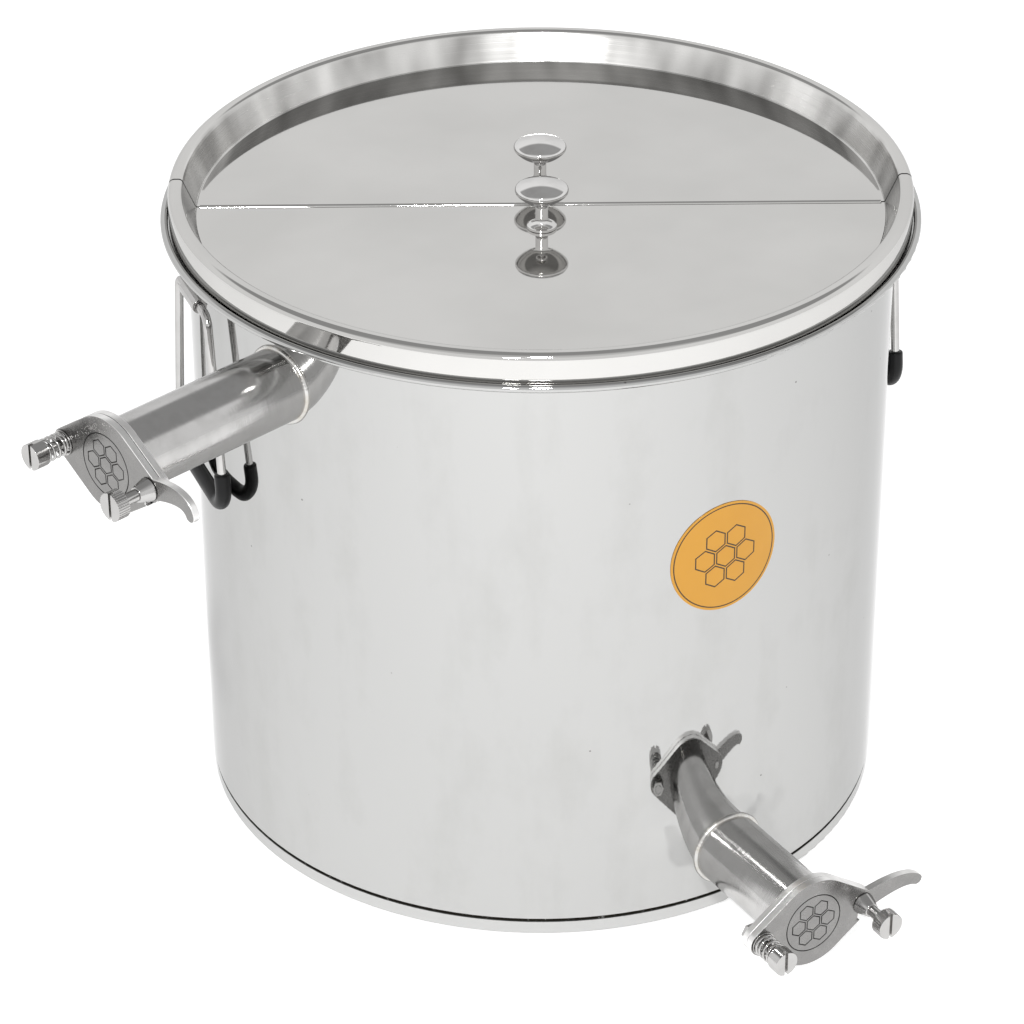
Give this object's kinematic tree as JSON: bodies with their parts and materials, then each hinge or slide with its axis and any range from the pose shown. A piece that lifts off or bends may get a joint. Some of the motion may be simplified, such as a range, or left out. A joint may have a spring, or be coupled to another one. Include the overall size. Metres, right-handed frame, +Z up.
{
  "type": "honey settling tank",
  "caption": "Round stainless honey settling tank with a split lid, swing handles, and gate valves on a high and a low outlet tube.",
  "frame": {"origin": "middle of the tank's flat underside", "axes": "+Z up along the tank's axis, -Y towards the lower outlet"},
  "size_m": [0.6689, 0.6278, 0.4688],
  "materials": {
    "stainless_sheet": "bright rolled",
    "polished_stainless": "polished",
    "stainless_hardware": "plain",
    "grip_rubber": "satin",
    "seal_rubber": "satin",
    "label_film": "satin"
  },
  "bodies": {
    "tank": {"tank_wall": "stainless_sheet", "tank_floor": "stainless_sheet", "rim_wire": "stainless_hardware", "label": "label_film", "left_hinge": "stainless_hardware", "right_hinge": "stainless_hardware", "lower_outlet_tube": "polished_stainless", "lower_weld_bead": "stainless_hardware", "lower_flange": "polished_stainless", "lower_seal_ring": "seal_rubber", "lower_pivot_screw": "polished_stainless", "lower_pivot_spring": "stainless_hardware", "lower_pivot_washer": "stainless_hardware", "lower_pivot_locknut": "stainless_hardware", "upper_outlet_tube": "polished_stainless", "upper_weld_bead": "stainless_hardware", "upper_flange": "polished_stainless", "upper_seal_ring": "seal_rubber", "upper_pivot_screw": "polished_stainless", "upper_pivot_spring": "stainless_hardware", "upper_pivot_washer": "stainless_hardware", "upper_pivot_locknut": "stainless_hardware"},
    "lid_front": {"lid_front": "stainless_sheet", "lid_front_knob": "polished_stainless", "lid_front_screw": "stainless_hardware", "lid_front_washer": "stainless_hardware"},
    "lid_rear": {"lid_rear": "stainless_sheet", "lid_rear_knob": "polished_stainless", "lid_rear_screw": "stainless_hardware", "lid_rear_washer": "stainless_hardware"},
    "left_handle": {"left_bail": "polished_stainless", "left_grip": "grip_rubber"},
    "right_handle": {"right_bail": "polished_stainless", "right_grip": "grip_rubber"},
    "lower_gate": {"lower_gate": "polished_stainless"},
    "upper_gate": {"upper_gate": "polished_stainless"},
    "lower_clamp": {"lower_clamp_collar": "polished_stainless"},
    "lower_thumb_screw": {"lower_clamp_screw": "polished_stainless"},
    "upper_clamp": {"upper_clamp_collar": "polished_stainless"},
    "upper_thumb_screw": {"upper_clamp_screw": "polished_stainless"}
  },
  "joints": [
    {"name": "lid_front_lift", "type": "slide", "parent": "tank", "child": "lid_front", "axis": [0, 0, 1], "range_m": [0, 0.12]},
    {"name": "lid_rear_lift", "type": "slide", "parent": "tank", "child": "lid_rear", "axis": [0, 0, 1], "range_m": [0, 0.12]},
    {"name": "left_handle_swing", "type": "hinge", "parent": "tank", "child": "left_handle", "pos_m": [-0.24294, 0.04459, 0.4135], "axis": [0.1805, 0.9836, 0], "range_deg": [0, 135]},
    {"name": "right_handle_swing", "type": "hinge", "parent": "tank", "child": "right_handle", "pos_m": [0.24017, -0.05766, 0.4135], "axis": [-0.2334, -0.9724, 0], "range_deg": [0, 135]},
    {"name": "lower_gate_swing", "type": "hinge", "parent": "tank", "child": "lower_gate", "pos_m": [-0.041, -0.34, 0.047], "axis": [0, -1, 0], "range_deg": [0, 95]},
    {"name": "lower_clamp_travel", "type": "slide", "parent": "tank", "child": "lower_clamp", "axis": [0, -1, 0], "range_m": [0, 0.002]},
    {"name": "lower_clamp_turn", "type": "hinge", "parent": "lower_clamp", "child": "lower_thumb_screw", "pos_m": [0.041, -0.34, 0.047], "axis": [0, -1, 0], "range_deg": [0, 720]},
    {"name": "upper_gate_swing", "type": "hinge", "parent": "tank", "child": "upper_gate", "pos_m": [-0.3837, -0.04788, 0.3915], "axis": [-0.9736, -0.2284, 0], "range_deg": [0, 95]},
    {"name": "upper_clamp_travel", "type": "slide", "parent": "tank", "child": "upper_clamp", "axis": [-0.9736, -0.2284, 0], "range_m": [0, 0.002]},
    {"name": "upper_clamp_turn", "type": "hinge", "parent": "upper_clamp", "child": "upper_thumb_screw", "pos_m": [-0.36498, -0.12772, 0.3915], "axis": [-0.9736, -0.2284, 0], "range_deg": [0, 720]}
  ],
  "couplings": [
    {"joint": "lower_clamp_turn", "follows": "lower_clamp_travel", "rad_per_m": 6283.2},
    {"joint": "upper_clamp_turn", "follows": "upper_clamp_travel", "rad_per_m": 6283.2}
  ]
}
